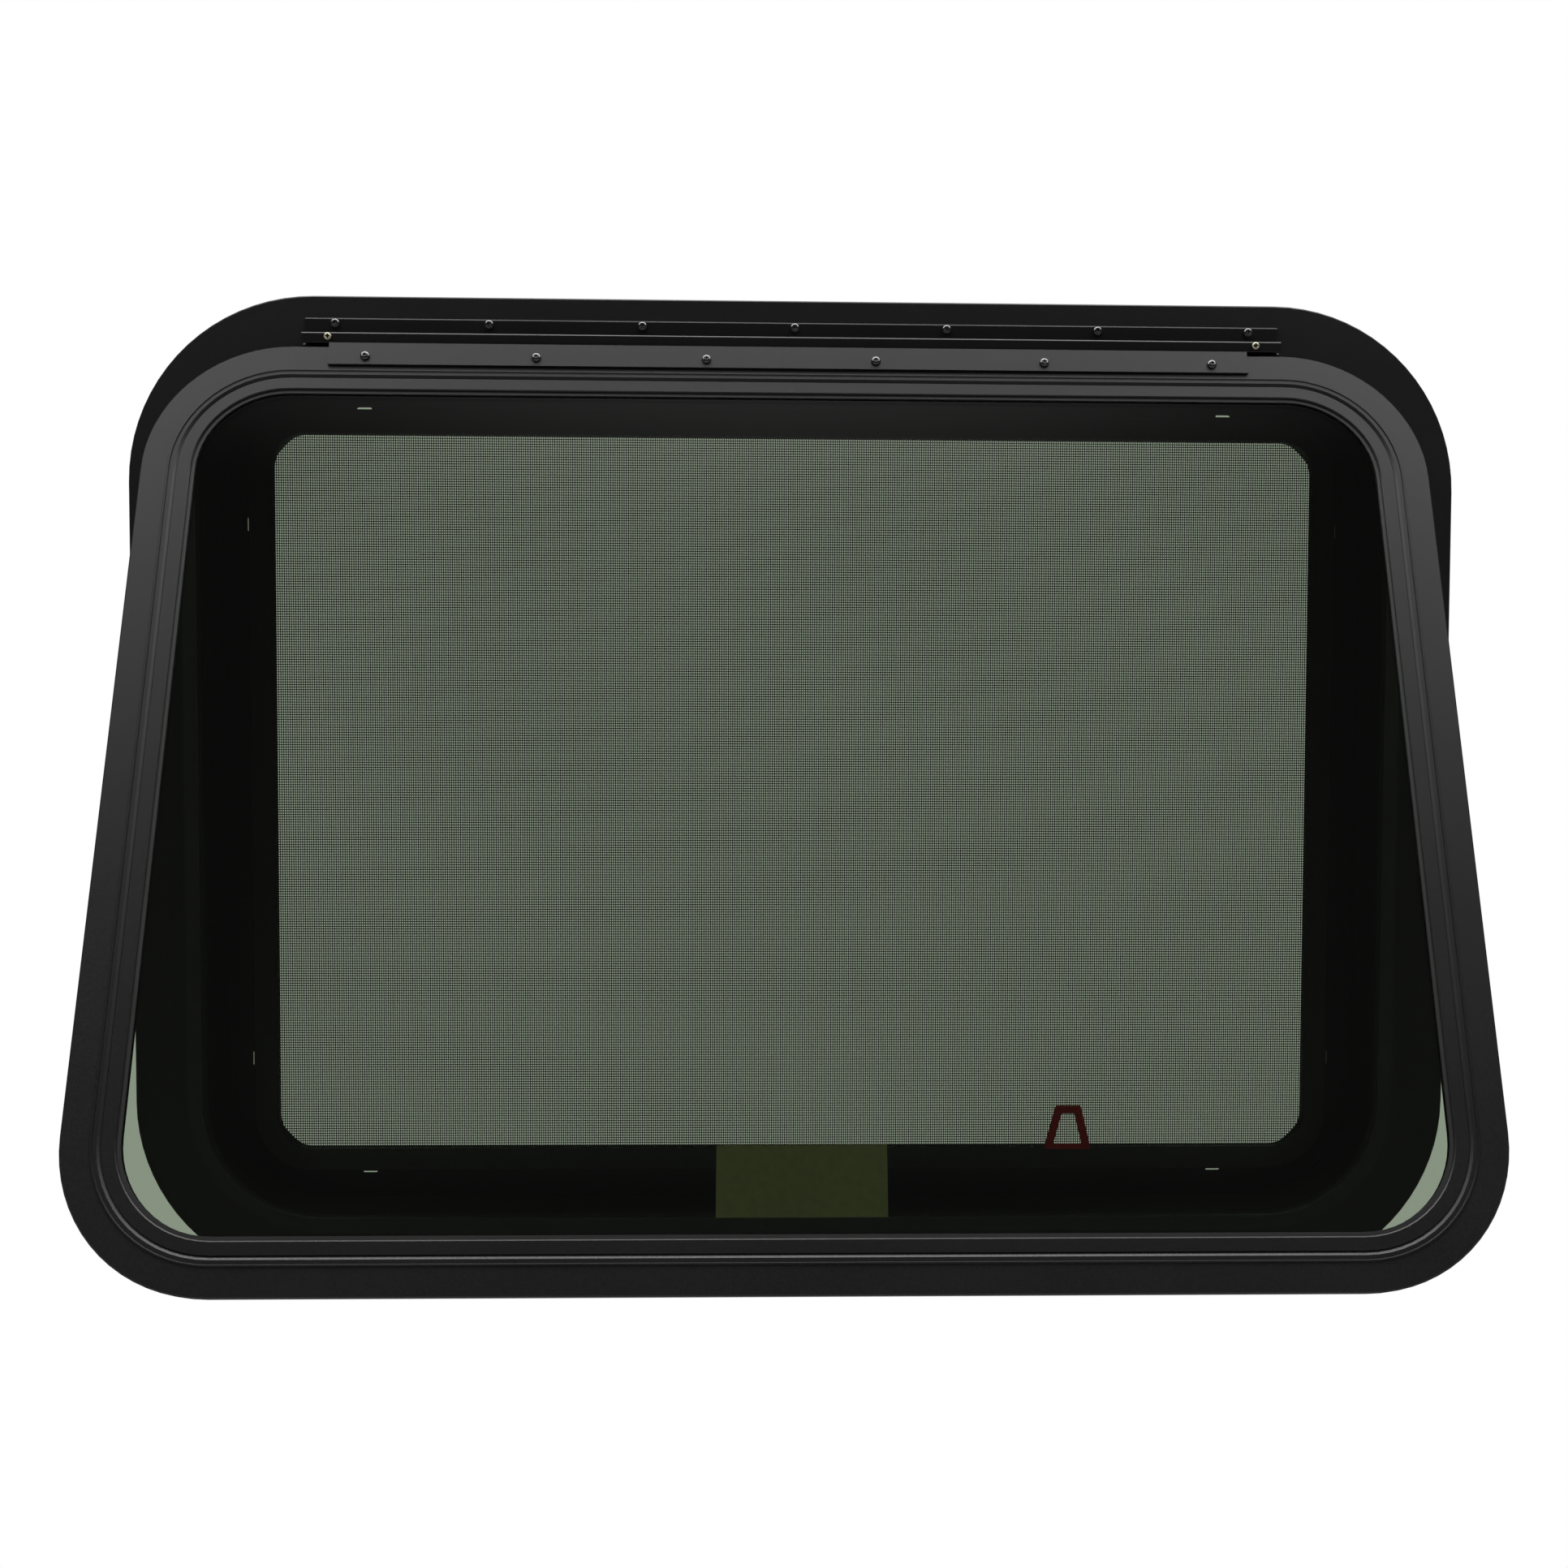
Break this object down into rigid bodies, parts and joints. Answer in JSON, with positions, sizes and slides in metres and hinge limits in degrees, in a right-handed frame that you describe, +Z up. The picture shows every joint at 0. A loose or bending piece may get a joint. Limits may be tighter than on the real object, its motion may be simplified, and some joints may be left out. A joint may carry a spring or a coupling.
{
  "type": "top-hung caravan window with fly screen",
  "caption": "Black aluminium caravan window with a top-hung tinted glass sash, a hook hinge rail, a fly screen panel and an inner clamp ring.",
  "frame": {"origin": "centre of the wall opening, on the outer skin of the wall, where the back of the outer flange rests", "axes": "+X to the right seen from outside, +Z up, +Y into the wall"},
  "size_m": [0.812, 0.2516, 0.606],
  "materials": {
    "black_coat": "satin black powder coat",
    "seal_rubber": "matte",
    "black_screw": "satin black",
    "zinc_screw": "zinc plated",
    "screen_weave": "coated glass fibre weave",
    "red_plastic": "moulded",
    "tinted_glass": "green-grey tint, polished",
    "label_film": "printed film"
  },
  "bodies": {
    "frame": {"main_frame": "black_coat", "frame_joint_plate": "black_coat", "throat_seal": "seal_rubber", "clamp_ring": "black_coat", "clamp_ring_screws": "black_screw", "screen_frame": "black_coat", "screen_mesh": "screen_weave", "screen_spline": "seal_rubber", "screen_pull_loop": "red_plastic", "hinge_upper_rail": "black_coat", "hinge_upper_screws": "black_screw", "hinge_end_screws": "zinc_screw"},
    "sash": {"sash_frame": "black_coat", "glass_pane": "tinted_glass", "outer_gasket": "seal_rubber", "inner_gasket": "seal_rubber", "inner_glazing_bead": "black_coat", "glass_label": "label_film", "hinge_lower_rail": "black_coat", "hinge_lower_screws": "black_screw"}
  },
  "joints": [
    {"name": "sash_hinge", "type": "hinge", "parent": "frame", "child": "sash", "pos_m": [0, -0.00948, 0.2738], "axis": [-1, 0, 0], "range_deg": [-20, 40]}
  ]
}
